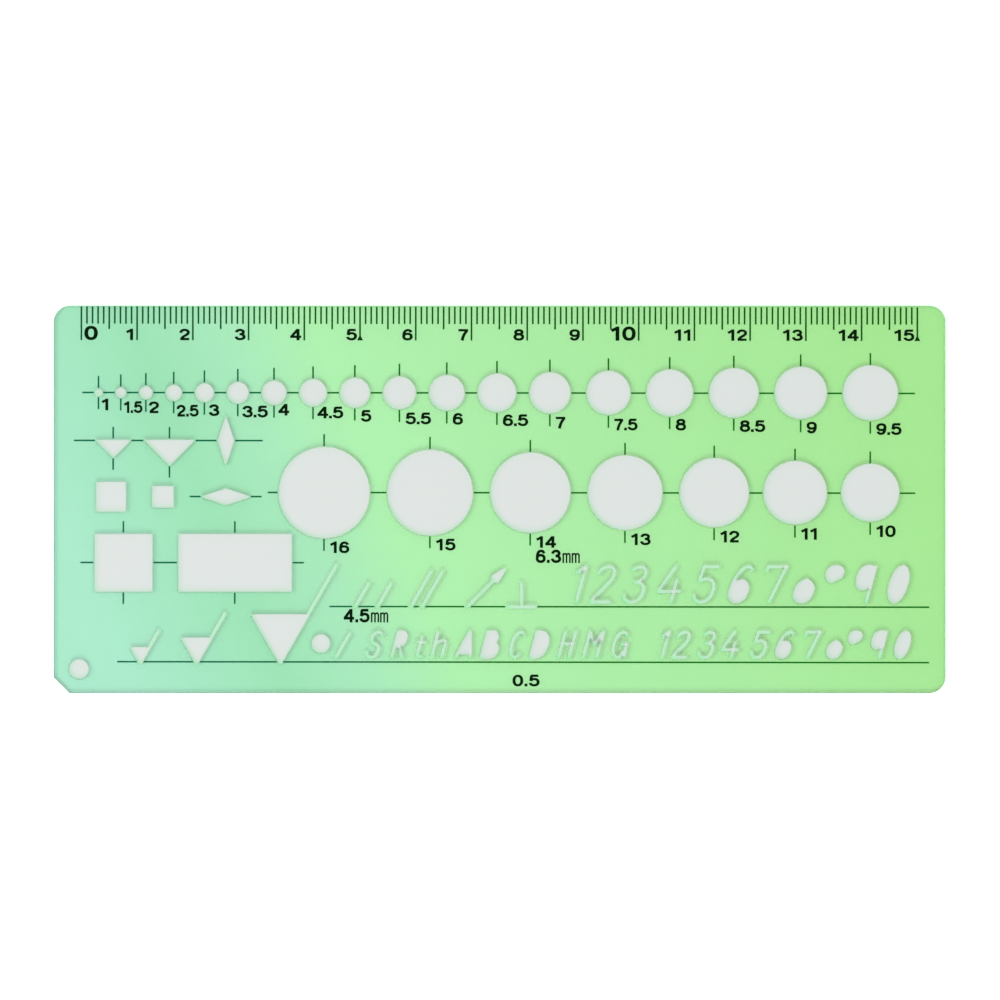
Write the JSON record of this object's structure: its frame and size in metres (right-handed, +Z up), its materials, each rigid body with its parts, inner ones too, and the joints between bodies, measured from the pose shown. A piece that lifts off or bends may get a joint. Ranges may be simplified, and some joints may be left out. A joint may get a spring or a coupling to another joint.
{
  "type": "drafting template",
  "caption": "Thin clear green drawing template: a ruled long edge, rows of round, square, triangular and rhombic openings, and slanted lettering slots.",
  "frame": {"origin": "middle of the underside of the sheet, on the paper", "axes": "+X along the ruled edge from 0 upwards, +Y towards the ruled edge, +Z up out of the printed face"},
  "size_m": [0.16, 0.0694, 0.001],
  "materials": {
    "clear_green": "gloss",
    "ink": "matte"
  },
  "bodies": {
    "root": {"template_sheet": "clear_green"}
  },
  "joints": []
}
